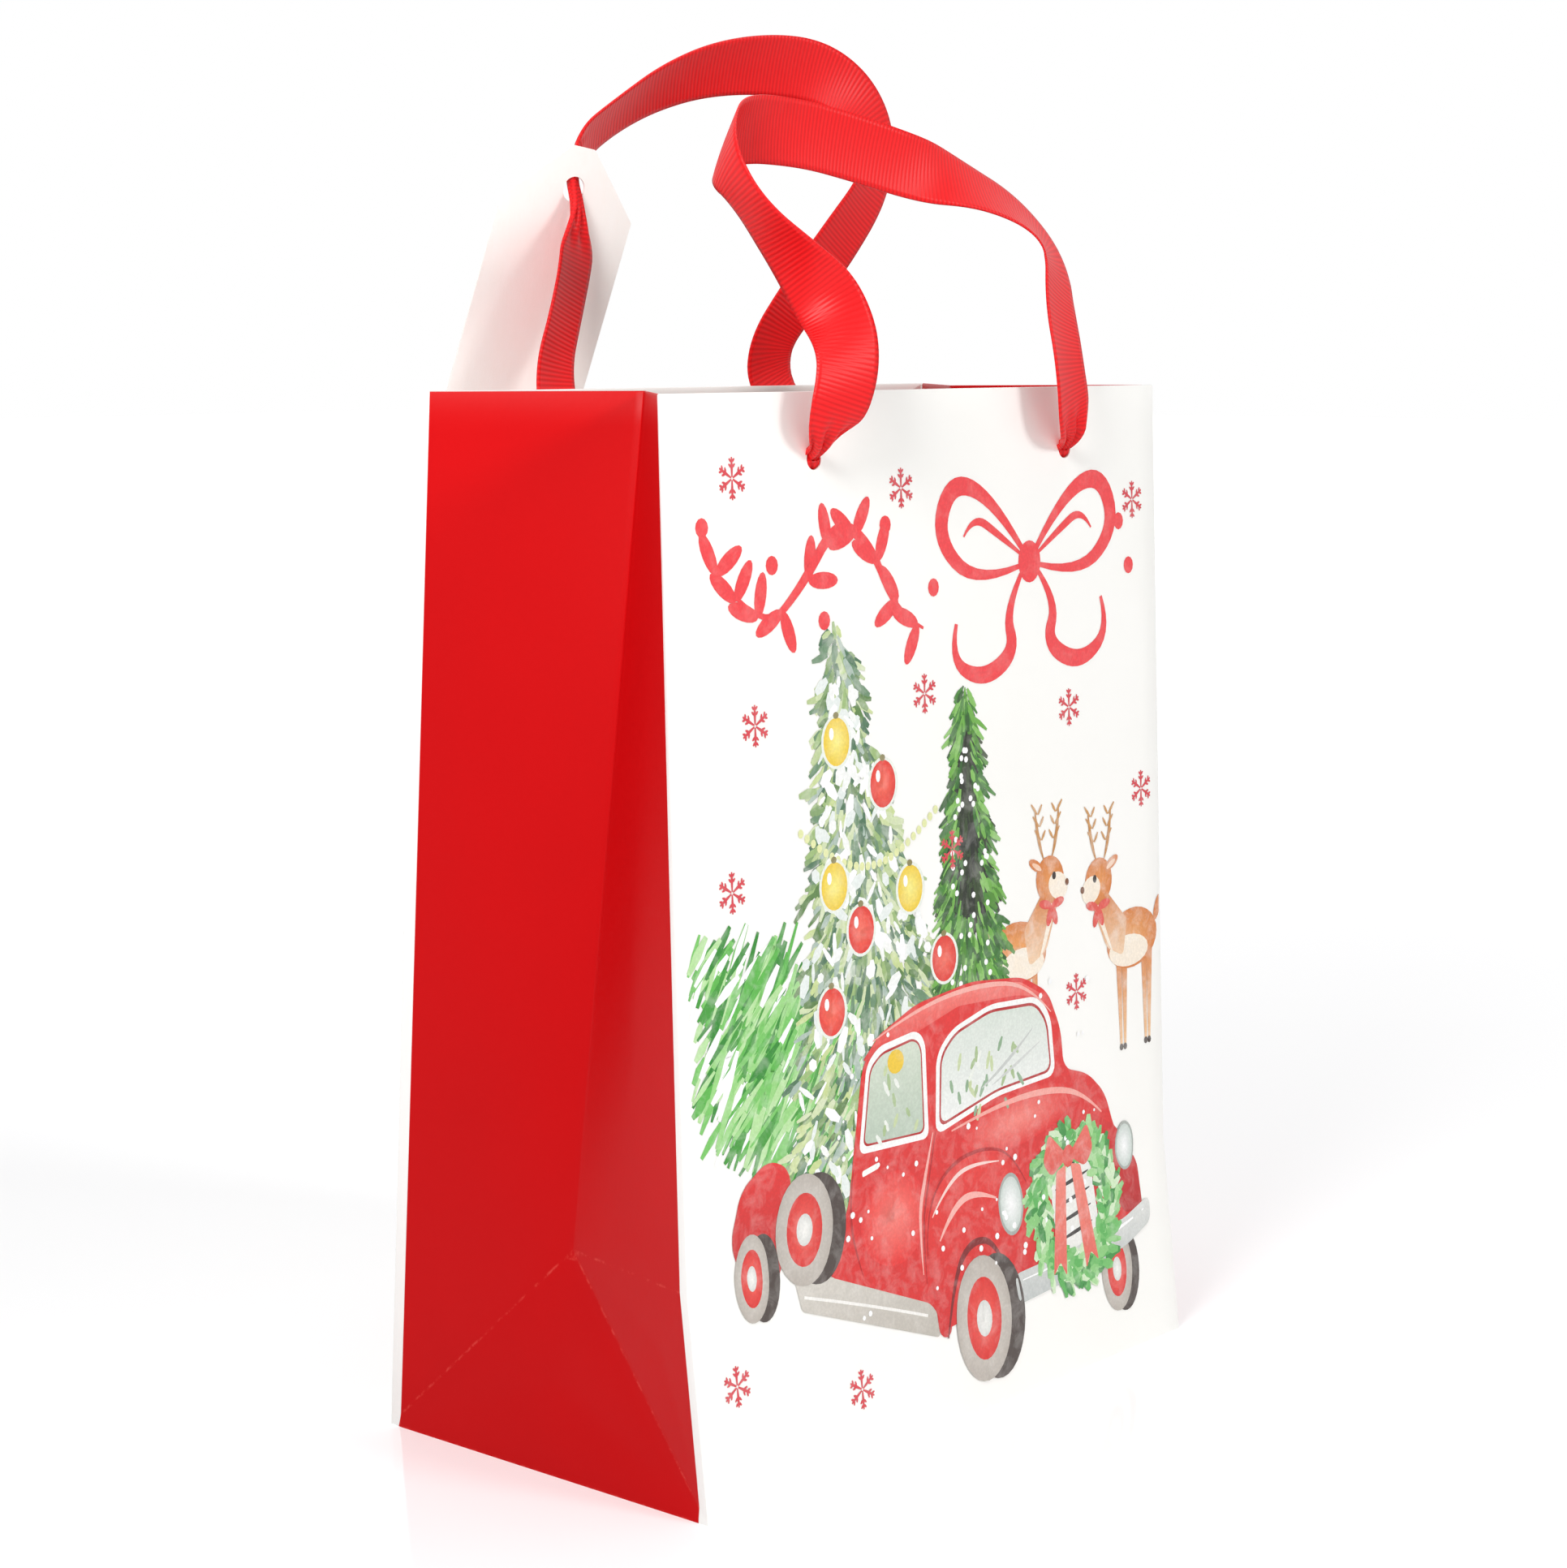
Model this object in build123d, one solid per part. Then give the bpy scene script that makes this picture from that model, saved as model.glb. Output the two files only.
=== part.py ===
from build123d import *
import math
import os

# A paper gift bag with ribbon handles, in millimetres.
# +X runs along the front panel to the right, the front panel is on -Y, +Z is up.
# The origin is the middle of the base, on the surface that the bag stands on.

# The bag as it is cut and folded
bag_width = 180.0        # front panel, left fold to right fold
bag_height = 240.0       # measured along the paper, from the base fold to the top edge
bag_depth = 100.0        # side panel, front fold to back fold
paper = 0.3              # thickness of the coated paper
card = 0.6               # thickness of the stiffening strips in the top hems
board = 0.8              # thickness of the loose base board

# How far the folds stand from a plain box
front_set_back = 12.0    # top edge of the front panel, back from its base fold
back_set_in = 15.5       # top edge of the back panel, in from its base fold
front_crease_push = 5.6  # the flat-fold crease across the front panel, pushed in
side_crease_push = 10.7  # the point where the side panel's creases meet, pushed in

# Top hem, stiffeners and the holes for the handles
hem_depth = 30.0
stiffener_depth = 27.0
stiffener_drop = 1.5     # from the top edge down to the stiffener
hem_end_gap = 3.5        # from a corner fold to the end of a hem or stiffener
hole_drop = 14.5         # from the top edge down to the hole centres
hole_left = -41.0
hole_right = 52.0
hole_diameter = 5.0
punch_length = 10.0      # long enough to pass through the panel, stiffener and hem

# Base flaps and base board
flap_overlap = 30.0      # how far the front and back flaps lie over each other
flap_gap = 0.3           # between a flap's end and the side panel
side_flap_reach = 46.0   # how far a side flap reaches in
base_board_gap = 1.4     # around the base board

# Glue tab that closes the tube, inside the back panel
tab_width = 14.0
tab_gap = 3.0            # from the corner fold to the tab's edge

# Grosgrain ribbon; its cord is round, with the ribbon's own section
ribbon_width = 15.0
ribbon_thickness = 0.45
cord_radius = math.sqrt(ribbon_width * ribbon_thickness / math.pi)
knot_radius = 4.6
knot_length = 6.5
knot_rounding = 2.4
neck_length = 1.6        # how far the knotted end stands out of the panel

# Hang tag
tag_width = 38.0
tag_height = 84.0
tag_thickness = 0.5
tag_shoulder = 15.0      # height of the cut corners
tag_top_width = 6.0
tag_hole_drop = 10.0     # from the tag's top edge to its hole centre
tag_hole_diameter = 6.0
tag_hole_place = (-28.3, 46.2, 286.0)
tag_turn = 12.0          # the tag's width from +X towards -Y, degrees
tag_swing_out = 15.0     # its lower end away from the bag, degrees
tag_lean = 9.0           # its lower end to the left, degrees

# Routes of the free ribbons, from hole to hole
arc_share = 0.45         # of each straight run, taken by the arc at each of its ends
front_route = [
    (-44, -45.5, 231.4), (-42.7, -48.5, 238.3), (-40.2, -48, 247.5), (-38.7, -43, 256.5),
    (-44.1, -37, 266.8), (-54, -31, 279.2), (-56.9, -25, 289.5), (-43.2, -18, 296.6),
    (-22, -18, 296.5), (-5, -21, 293.5), (10.7, -25, 289.7), (26, -29, 286.5),
    (42.7, -33, 280.1), (50.1, -37, 269.8), (44.8, -42, 257.3), (43.1, -46, 245),
    (46.2, -45.5, 231.4),
]
back_route = [
    (-38.5, 41.5, 231.4), (-39.3, 43, 243.8), (-35.2, 42.5, 257), (-31.4, 42.5, 270),
    (-30.2, 43, 281.3), (-26.4, 49.4, 290.7), (-19.3, 51, 298), (-9, 49.5, 305),
    (2, 46, 311.5), (15.4, 42, 316.3), (31.9, 38, 318.3), (47.4, 34, 317.2),
    (58.5, 30, 310.3), (63, 27, 299.4), (60.5, 28, 288.2), (51.6, 32, 274.9),
    (43, 38, 260.7), (38, 43, 250), (40.5, 45.5, 240.4), (46, 41.5, 231.4),
]

# Places that follow from the sizes above
half_width, half_depth = bag_width / 2, bag_depth / 2
crease_z = math.sqrt(half_depth**2 - front_crease_push**2)
front_top_y = front_set_back - half_depth
front_crease_y = front_crease_push - half_depth
back_top_y = half_depth - back_set_in
upper_front = bag_height - half_depth
front_top_z = crease_z + math.sqrt(upper_front**2 - (front_top_y - front_crease_y) ** 2)
back_top_z = math.sqrt(bag_height**2 - back_set_in**2)
half_mouth = (back_top_y - front_top_y) / 2
side_top_push = math.sqrt(half_depth**2 - half_mouth**2)
wall = 2 * paper + card  # a hemmed and stiffened wall at the top


def front_y(z):
    """Outer face of the front panel at height z."""
    if z < crease_z:
        return -half_depth + front_crease_push * z / crease_z
    up = (z - crease_z) / (front_top_z - crease_z)
    return front_crease_y + (front_top_y - front_crease_y) * up


def back_y(z):
    """Outer face of the back panel at height z."""
    return half_depth - back_set_in * z / back_top_z


def plate(points, offset):
    """A flat sheet of paper or card: its outline, and its thickness as a vector."""
    outline = Face(Wire.make_polygon([Vector(*p) for p in points]))
    return Solid.extrude(outline, Vector(*offset))


def cross_plate(profile, x_low, x_high):
    """A sheet with the same (y, z) profile all along X."""
    points = [(x_low, y, z) for y, z in profile]
    return plate(points, (x_high - x_low, 0, 0))


def curved_plate(low_pair, high_pair, offset):
    """A sheet that turns evenly from one straight edge to another."""
    move = Vector(*offset)
    wires = []
    for pair in (low_pair, high_pair):
        a, b = (Vector(*p) for p in pair)
        wires.append(Wire.make_polygon([a, b, b + move, a + move]))
    return Solid.make_loft(wires, ruled=True)


def front_strip(inner, outer, z_low, z_high, reach):
    """A strip behind the front panel, between two offsets from its outer face."""
    profile = [
        (front_y(z_low) + inner, z_low), (front_y(z_high) + inner, z_high),
        (front_y(z_high) + outer, z_high), (front_y(z_low) + outer, z_low),
    ]
    return cross_plate(profile, -reach, reach)


def back_strip(inner, outer, z_low, z_high, x_low, x_high):
    """A strip in front of the back panel, between two offsets from its outer face."""
    profile = [
        (back_y(z_low) - inner, z_low), (back_y(z_high) - inner, z_high),
        (back_y(z_high) - outer, z_high), (back_y(z_low) - outer, z_low),
    ]
    return cross_plate(profile, x_low, x_high)


def between(a, b, share):
    """The point that lies a share of the way from a to b."""
    return tuple(p + (q - p) * share for p, q in zip(a, b))


def route_radii(points):
    """Arcs as large as the two runs at each point allow."""
    places = [Vector(*p) for p in points]
    radii = []
    for a, b, c in zip(places, places[1:], places[2:]):
        turn = math.radians((b - a).get_angle(c - b))
        radii.append(arc_share * min((b - a).length, (c - b).length) / math.tan(turn / 2))
    return radii


def ribbon_cord(points, name):
    """A round cord along straight runs joined by tangent arcs."""
    radii = route_radii(points)
    path = Wire(FilletPolyline(*points, radius=radii).edges())
    end = Plane(origin=path @ 0, z_dir=path % 0)
    cord = sweep(end * Circle(cord_radius), path=path)
    section = math.pi * cord_radius**2
    print(name, "length", round(path.length, 1), "smallest radius", round(min(radii), 1),
          "volume share", round(cord.volume / (section * path.length), 4))
    return cord


# Front and back panels
panel_profile = [
    (-half_depth, 0), (front_crease_y, crease_z), (front_top_y, front_top_z),
    (front_top_y + paper, front_top_z), (front_crease_y + paper, crease_z),
    (-half_depth + paper, 0),
]
front_panel = cross_plate(panel_profile, -half_width, half_width)
back_panel = back_strip(0, paper, 0, back_top_z, -half_width, half_width)

# Side panels: the corners of the folds on the left side, at the outer face
front_foot = (-half_width, -half_depth + paper, 0)
front_kink = (-half_width, front_crease_y + paper, crease_z)
front_top = (-half_width, front_top_y + paper, front_top_z)
back_foot = (-half_width, half_depth - paper, 0)
back_top = (-half_width, back_top_y - paper, back_top_z)
fold_point = (-half_width + side_crease_push, 0, math.sqrt(half_depth**2 - side_crease_push**2))
fold_top = (-half_width + side_top_push, (front_top_y + back_top_y) / 2,
            (front_top_z + back_top_z) / 2)
inward = (paper, 0, 0)

side_front = curved_plate((front_kink, fold_point), (front_top, fold_top), inward)
side_rear = curved_plate((back_foot, fold_point), (back_top, fold_top), inward)
side_corner = plate([front_kink, fold_point, front_foot], inward)
side_base = plate([front_foot, fold_point, back_foot], inward)

# Side hems: the top of each side panel turned in and glued down
front_share = 1 - hem_depth / upper_front
back_share = 1 - hem_depth / bag_height
hem_front = curved_plate(
    (between(front_kink, front_top, front_share), between(fold_point, fold_top, front_share)),
    (front_top, fold_top), inward,
).moved(Location(inward))
hem_rear = curved_plate(
    (between(back_foot, back_top, back_share), between(fold_point, fold_top, back_share)),
    (back_top, fold_top), inward,
).moved(Location(inward))

# Front and back hems with their stiffeners
hem_reach = half_width - hem_end_gap
front_hem = front_strip(paper + card, wall, front_top_z - hem_depth, front_top_z, hem_reach)
front_stiffener = front_strip(
    paper, paper + card, front_top_z - stiffener_drop - stiffener_depth,
    front_top_z - stiffener_drop, hem_reach,
)
back_hem = back_strip(
    paper + card, wall, back_top_z - hem_depth, back_top_z, -hem_reach, hem_reach,
)
back_stiffener = back_strip(
    paper, paper + card, back_top_z - stiffener_drop - stiffener_depth,
    back_top_z - stiffener_drop, -hem_reach, hem_reach,
)

# Glue tab, from the right side panel onto the back panel, below the hem
tab_right = half_width - tab_gap
side_seam_tab = back_strip(
    paper, 2 * paper, hem_depth, back_top_z - hem_depth - tab_gap, tab_right - tab_width, tab_right,
)

# Base flaps, lowest first: front, back, then the two side flaps
flap_reach = half_width - paper - flap_gap
overlap_front, overlap_back = flap_overlap / 2, -flap_overlap / 2
levels = [paper * k for k in range(4)]
front_base_flap = cross_plate(
    [(front_y(levels[0]) + paper, levels[0]), (overlap_front, levels[0]),
     (overlap_front, levels[1]), (front_y(levels[1]) + paper, levels[1])],
    -flap_reach, flap_reach,
)
back_base_flap = cross_plate(
    [(back_y(levels[1]) - paper, levels[1]), (overlap_back, levels[1]),
     (overlap_back, levels[2]), (back_y(levels[2]) - paper, levels[2])],
    -flap_reach, flap_reach,
)
side_slope = side_crease_push / fold_point[2]
side_flap_end = half_depth - side_flap_reach / 2
flap_side = half_depth - paper - flap_gap - front_crease_push * levels[3] / crease_z
flap_edges = [-half_width + paper + side_slope * levels[k] for k in (2, 3)]
flap_tip = flap_edges[1] + side_flap_reach
side_flap = Solid.extrude(
    Face(Wire.make_polygon([
        Vector(flap_edges[0], -flap_side, levels[2]), Vector(flap_tip, -flap_side, levels[2]),
        Vector(flap_tip, -flap_side, levels[3]), Vector(flap_edges[1], -flap_side, levels[3]),
    ])), Vector(0, 2 * flap_side, 0),
)
flap_plan = plate(
    [(-half_width, -flap_side, levels[1]), (flap_tip, -side_flap_end, levels[1]),
     (flap_tip, side_flap_end, levels[1]), (-half_width, flap_side, levels[1])],
    (0, 0, levels[3]),
)
side_flap = side_flap & flap_plan

# Base board, loose on the flaps
board_x = half_width - base_board_gap
board_y = half_depth - base_board_gap
base_board = Pos(0, 0, levels[3] + board / 2) * Box(2 * board_x, 2 * board_y, board)

# Holes for the handles, square to each panel, and the knots behind them
front_lean = math.atan2(front_top_y - front_crease_y, front_top_z - crease_z)
back_lean = math.atan2(back_set_in, back_top_z)
front_hole_z = front_top_z - hole_drop * math.cos(front_lean)
back_hole_z = back_top_z - hole_drop * math.cos(back_lean)
front_out = (0, -math.cos(front_lean), math.sin(front_lean))
back_out = (0, math.cos(back_lean), math.sin(back_lean))
sides = [
    ("front", front_y(front_hole_z), front_hole_z, front_out, front_lean),
    ("back", back_y(back_hole_z), back_hole_z, back_out, back_lean),
]
layers = {
    "front": [front_panel, front_stiffener, front_hem],
    "back": [back_panel, back_stiffener, back_hem],
}
knots = {}
for side, y, z, out, lean in sides:
    for end, x in (("left", hole_left), ("right", hole_right)):
        mouth = Plane(origin=(x, y, z), x_dir=(1, 0, 0), z_dir=out)
        punch = mouth * Cylinder(hole_diameter / 2, punch_length)
        layers[side] = [layer - punch for layer in layers[side]]
        seat = wall * math.cos(lean)
        neck = mouth * Pos(0, 0, (neck_length - seat) / 2) * Cylinder(
            cord_radius, neck_length + seat)
        bun = Cylinder(knot_radius, knot_length)
        bun = fillet(bun.edges().filter_by(GeomType.CIRCLE), knot_rounding)
        bun = mouth * Pos(0, 0, -seat - knot_length / 2) * bun
        knots[side + "_" + end + "_knot"] = bun + neck
front_panel, front_stiffener, front_hem = layers["front"]
back_panel, back_stiffener, back_hem = layers["back"]

# Handles
front_handle = ribbon_cord(front_route, "front_handle")
back_handle = ribbon_cord(back_route, "back_handle")

# Hang tag: its outline has its hole at the origin
tag_top = tag_hole_drop
tag_bottom = tag_top - tag_height
tag_side = tag_width / 2
tag_outline = Polyline(
    (-tag_top_width / 2, tag_top), (tag_top_width / 2, tag_top),
    (tag_side, tag_top - tag_shoulder), (tag_side, tag_bottom),
    (-tag_side, tag_bottom), (-tag_side, tag_top - tag_shoulder), close=True,
)
tag_face = make_face(tag_outline) - Circle(tag_hole_diameter / 2)
tag_flat = extrude(tag_face, tag_thickness / 2, both=True)
tag_place = Location(tag_hole_place) * Rotation(0, 0, -tag_turn) * Rotation(90 + tag_swing_out, 0, 0)
hang_tag = tag_place * Rotation(0, 0, -tag_lean) * tag_flat

nodes = {
    "front_panel": front_panel,
    "back_panel": back_panel,
    "front_hem": front_hem,
    "back_hem": back_hem,
    "front_stiffener": front_stiffener,
    "back_stiffener": back_stiffener,
    "side_seam_tab": side_seam_tab,
    "front_base_flap": front_base_flap,
    "back_base_flap": back_base_flap,
    "base_board": base_board,
    "front_handle": front_handle,
    "back_handle": back_handle,
    "hang_tag": hang_tag,
}
nodes.update(knots)
left_side = {
    "side_front": side_front, "side_rear": side_rear, "side_corner": side_corner,
    "side_base": side_base, "hem_front": hem_front, "hem_rear": hem_rear,
    "base_flap": side_flap,
}
for name, solid in left_side.items():
    nodes["left_" + name] = solid
    nodes["right_" + name] = mirror(solid, about=Plane.YZ)

os.makedirs("parts", exist_ok=True)
for name, solid in nodes.items():
    export_step(solid, "parts/" + name + ".step")
print(len(nodes), "nodes; top of the bag at", round(front_top_z, 1), round(back_top_z, 1))
print("holes at y, z:", [(round(s[1], 2), round(s[2], 2)) for s in sides])
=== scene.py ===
import math
import random

import bmesh
import bpy
from mathutils import Matrix, Vector
from mathutils.bvhtree import BVHTree


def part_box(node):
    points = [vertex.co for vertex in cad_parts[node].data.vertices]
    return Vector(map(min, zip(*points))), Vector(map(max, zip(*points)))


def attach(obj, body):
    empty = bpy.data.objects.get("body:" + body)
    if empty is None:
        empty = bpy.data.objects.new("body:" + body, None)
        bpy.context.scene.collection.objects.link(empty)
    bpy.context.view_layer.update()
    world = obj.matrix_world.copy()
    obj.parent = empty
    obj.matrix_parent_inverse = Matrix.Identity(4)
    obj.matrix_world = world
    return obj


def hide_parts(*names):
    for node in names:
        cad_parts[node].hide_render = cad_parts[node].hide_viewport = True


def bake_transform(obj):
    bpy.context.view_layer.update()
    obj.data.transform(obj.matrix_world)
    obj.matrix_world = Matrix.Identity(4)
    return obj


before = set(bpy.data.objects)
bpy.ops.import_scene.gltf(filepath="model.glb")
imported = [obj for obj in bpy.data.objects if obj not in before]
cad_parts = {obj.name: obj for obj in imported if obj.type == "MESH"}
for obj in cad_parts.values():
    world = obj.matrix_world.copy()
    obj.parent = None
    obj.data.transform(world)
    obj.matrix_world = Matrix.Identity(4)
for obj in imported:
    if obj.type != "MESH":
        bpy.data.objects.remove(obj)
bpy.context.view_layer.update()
mm = 0.001


def linear(hexColour):
    # sRGB hex to the linear values that a shader wants
    parts = [int(hexColour[i:i + 2], 16) / 255 for i in (1, 3, 5)]
    return [p / 12.92 if p <= 0.04045 else ((p + 0.055) / 1.055) ** 2.4 for p in parts] + [1.0]


def addNode(tree, kind, settings=None, links=None):
    # A colour is sRGB hex, and a link comes from a socket or from a node's first output
    node = tree.nodes.new("ShaderNode" + kind)
    for name, value in (settings or {}).items():
        if isinstance(name, str) and hasattr(node, name):
            setattr(node, name, value)
        else:
            isColour = isinstance(value, str) and value.startswith("#")
            node.inputs[name].default_value = linear(value) if isColour else value
    for name, source in (links or {}).items():
        socket = source.outputs[0] if isinstance(source, bpy.types.Node) else source
        tree.links.new(socket, node.inputs[name])
    return node


def newMaterial(name):
    # With its node tree, and the place on the object that patterns are laid by
    material = bpy.data.materials.new(name)
    material.use_nodes = True
    tree = material.node_tree
    tree.nodes.clear()
    return material, tree, addNode(tree, "TexCoord").outputs["Object"]


def finishMaterial(material, settings, links=None):
    shader = addNode(material.node_tree, "BsdfPrincipled", settings, links)
    addNode(material.node_tree, "OutputMaterial", links={"Surface": shader})
    return material


def meshFrom(bm, name, smooth=True):
    mesh = bpy.data.meshes.new(name)
    bm.to_mesh(mesh)
    bm.free()
    for polygon in mesh.polygons:
        polygon.use_smooth = smooth
    return mesh


def newObject(name, data):
    piece = bpy.data.objects.new(name, data)
    bpy.context.scene.collection.objects.link(piece)
    return piece


def makePiece(name, bm, material, thickness=0.0, smooth=True):
    # thickness turns a sheet into a skin about its middle
    piece = newObject(name, meshFrom(bm, name, smooth))
    piece.data.materials.append(material)
    if thickness:
        skin = piece.modifiers.new("thickness", "SOLIDIFY")
        skin.thickness, skin.offset = thickness, 0
    return piece


def smoothStep(low, high, value):
    t = min(1.0, max(0.0, (value - low) / (high - low)))
    return t * t * (3 - 2 * t)


def turned(degrees, axis):
    return Matrix.Rotation(math.radians(degrees), 4, axis)


studio = {
    "cameraPlace": (-0.56692, -0.48270, 0.24912),
    "cameraTurn": 49.25,       # degrees from +Y towards +X
    "cameraDip": 7.90,         # degrees below the horizon
    "cameraRoll": -0.15,
    "lens": 72.34,
    "floorHalf": 9.0,
    "roomLight": 0.17,         # of the white room round the bag; its walls look pure white
    "floorGlow": 0.27,         # the light table's own light
    "lamps": [
        # name, kind, place, aim, power, and softness in degrees or width in metres
        ("keyFront", "SUN", (0.22, -0.90, 0.42), (0, 0, 0), 1.15, 14),
        ("fillLeft", "SUN", (-0.90, -0.35, 0.30), (0, 0, 0), 0.10, 60),
        ("overhead", "SUN", (0.05, 0.0, 1.0), (0, 0, 0), 1.1, 50),
        ("nearLeft", "AREA", (-0.42, -0.16, 0.46), (-0.075, 0.02, 0.215), 1.7, 0.16),
    ],
}


def makeCamera(settings):
    data = bpy.data.cameras.new("camera")
    data.lens, data.sensor_width = settings["lens"], 36.0
    data.clip_start, data.clip_end = 0.05, 50
    camera = newObject("camera", data)
    turn, dip = math.radians(settings["cameraTurn"]), math.radians(settings["cameraDip"])
    ahead = Vector((math.sin(turn) * math.cos(dip), math.cos(turn) * math.cos(dip), -math.sin(dip)))
    pose = ahead.to_track_quat("-Z", "Y").to_matrix().to_4x4() @ turned(settings["cameraRoll"], "Z")
    camera.matrix_world = Matrix.Translation(settings["cameraPlace"]) @ pose
    bpy.context.scene.camera = camera


def makeRoom(settings):
    # A white room: full white to look at and in mirror images, dimmer where it lights the paper
    world = bpy.data.worlds.new("whiteStudio")
    world.use_nodes = True
    tree = world.node_tree
    sky = tree.nodes["Background"]
    sky.inputs["Color"].default_value = linear("#FFFFFF")
    ray = addNode(tree, "LightPath")
    seen = addNode(tree, "Math", {"operation": "MAXIMUM"},
                   {0: ray.outputs["Is Camera Ray"], 1: ray.outputs["Is Glossy Ray"]})
    level = addNode(tree, "MapRange", {"To Min": settings["roomLight"]}, {"Value": seen})
    tree.links.new(level.outputs[0], sky.inputs["Strength"])
    bpy.context.scene.world = world
    for name, kind, place, aim, power, softness in settings["lamps"]:
        lamp = bpy.data.lights.new(name, kind)
        lamp.energy = power
        if kind == "SUN":
            lamp.angle = math.radians(softness)
        else:
            lamp.size, lamp.shape = softness, "DISK"
        turn = (Vector(aim) - Vector(place)).to_track_quat("-Z", "Y").to_matrix().to_4x4()
        newObject(name, lamp).matrix_world = Matrix.Translation(place) @ turn


def acrylicFloor(settings):
    # A light table's white acrylic: it glows a little, so that it stays white in shadow, and
    # its polished top gives a faint soft mirror image of what stands on it
    material = newMaterial("whiteAcrylicLightTable")[0]
    return finishMaterial(material, {"Base Color": "#E9E9EA", "Roughness": 0.08,
                                     "Specular IOR Level": 0.50, "Emission Color": "#FFFFFF",
                                     "Emission Strength": settings["floorGlow"]})


def makeFloor(settings):
    bm = bmesh.new()
    bmesh.ops.create_grid(bm, x_segments=1, y_segments=1, size=settings["floorHalf"])
    floor = makePiece("floor", bm, acrylicFloor(settings), smooth=False)


bpy.context.scene.view_settings.view_transform = "Standard"
makeCamera(studio)
makeRoom(studio)
makeFloor(studio)
print("camera, light and floor are in place")


paperLook = {
    "white": "#FBFAF7",
    "whiteCloud": "#F4F3EE",
    "red": "#CB070C",
    "redCloud": "#C1060B",
    "worn": "#E8584F",         # the pale line where red ink cracks along a fold
    "sheen": 0.36,
    "wrap": 2.8 * mm,          # white panel print that shows round the corner folds
    "wornWidth": 0.45 * mm,
    "rippleSize": 1.43 * mm,
    "cloudSize": 45.5 * mm,
    "redCloudSize": 38.5 * mm,
    "flakeSize": 2.38 * mm,
}


def orangePeel(tree, place, settings):
    # The film's faint ripple, between one and two millimetres across
    peel = addNode(tree, "TexNoise", {"Scale": 1 / settings["rippleSize"], "Detail": 3.0},
                   {"Vector": place})
    return addNode(tree, "Bump", {"Strength": 0.05, "Distance": 0.3 * mm}, {"Height": peel})


def whiteArtPaper(settings):
    # Coated art paper under a film: bright white, smooth, a soft gloss with a faint orange peel
    material, tree, place = newMaterial("filmedWhiteArtPaper")
    cloud = addNode(tree, "TexNoise", {"Scale": 1 / settings["cloudSize"], "Detail": 4.0},
                    {"Vector": place})
    tone = addNode(tree, "Mix", {"data_type": "RGBA", 6: settings["white"], 7: settings["whiteCloud"]},
                   {0: cloud})
    relief = orangePeel(tree, place, settings)
    return finishMaterial(material, {"Roughness": settings["sheen"], "Specular IOR Level": 0.4},
                          {"Base Color": tone.outputs[2], "Normal": relief})


def redArtPaper(settings):
    # The same paper printed solid red: the ink stops just short of the corner folds,
    # where white shows, and cracks to a paler speckled line along the creases
    material, tree, place = newMaterial("filmedRedArtPaper")
    corner = addNode(tree, "Attribute", {"attribute_name": "cornerDistance"})
    crease = addNode(tree, "Attribute", {"attribute_name": "creaseDistance"})
    cloud = addNode(tree, "TexNoise", {"Scale": 1 / settings["redCloudSize"], "Detail": 4.0},
                    {"Vector": place})
    red = addNode(tree, "Mix", {"data_type": "RGBA", 6: settings["red"], 7: settings["redCloud"]},
                  {0: cloud})
    near = addNode(tree, "MapRange", {"From Min": settings["wornWidth"], "From Max": 0.0},
                   {"Value": crease.outputs["Fac"]})
    speck = addNode(tree, "TexNoise", {"Scale": 1 / settings["flakeSize"], "Detail": 4.0, "Roughness": 0.7},
                    {"Vector": place})
    flake = addNode(tree, "MapRange", {"From Min": 0.47, "From Max": 0.62, "To Max": 0.55},
                    {"Value": speck})
    wear = addNode(tree, "Math", {"operation": "MULTIPLY"}, {0: near, 1: flake})
    used = addNode(tree, "Mix", {"data_type": "RGBA", 7: settings["worn"]}, {0: wear, 6: red.outputs[2]})
    edge = addNode(tree, "MapRange", {"From Min": settings["wrap"] - 0.08 * mm,
                                      "From Max": settings["wrap"] + 0.08 * mm},
                   {"Value": corner.outputs["Fac"]})
    ink = addNode(tree, "Mix", {"data_type": "RGBA", 6: settings["white"]}, {0: edge, 7: used.outputs[2]})
    relief = orangePeel(tree, place, settings)
    return finishMaterial(material, {"Roughness": settings["sheen"], "Specular IOR Level": 0.10},
                          {"Base Color": ink.outputs[2], "Normal": relief})


def pulpBoard(name, tone, fleck, grain, rough):
    # Uncoated paper or board: matt, with short pulp fibres that show as faint flecks
    material, tree, place = newMaterial(name)
    stretch = addNode(tree, "Mapping", {"Scale": (1.0, 1.0, 0.35)}, {"Vector": place})
    pulp = addNode(tree, "TexNoise", {"Scale": 1 / grain, "Detail": 6.0, "Roughness": 0.7},
                   {"Vector": stretch})
    colour = addNode(tree, "Mix", {"data_type": "RGBA", 6: tone, 7: fleck}, {0: pulp})
    relief = addNode(tree, "Bump", {"Strength": 0.25, "Distance": 0.2 * mm}, {"Height": pulp})
    return finishMaterial(material, {"Roughness": rough},
                          {"Base Color": colour.outputs[2], "Normal": relief})


whitePaper = whiteArtPaper(paperLook)
redPaper = redArtPaper(paperLook)
insidePaper = pulpBoard("uncoatedPaperInside", "#F8F5EF", "#EEE9E0", 2.38 * mm, 0.85)
greyBoard = pulpBoard("greyRecycledBoard", "#B9B3A9", "#9F988D", 3.33 * mm, 0.9)
tagCard = pulpBoard("whiteTagCard", "#FFFEFB", "#FBF8F2", 1.92 * mm, 0.6)


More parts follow.
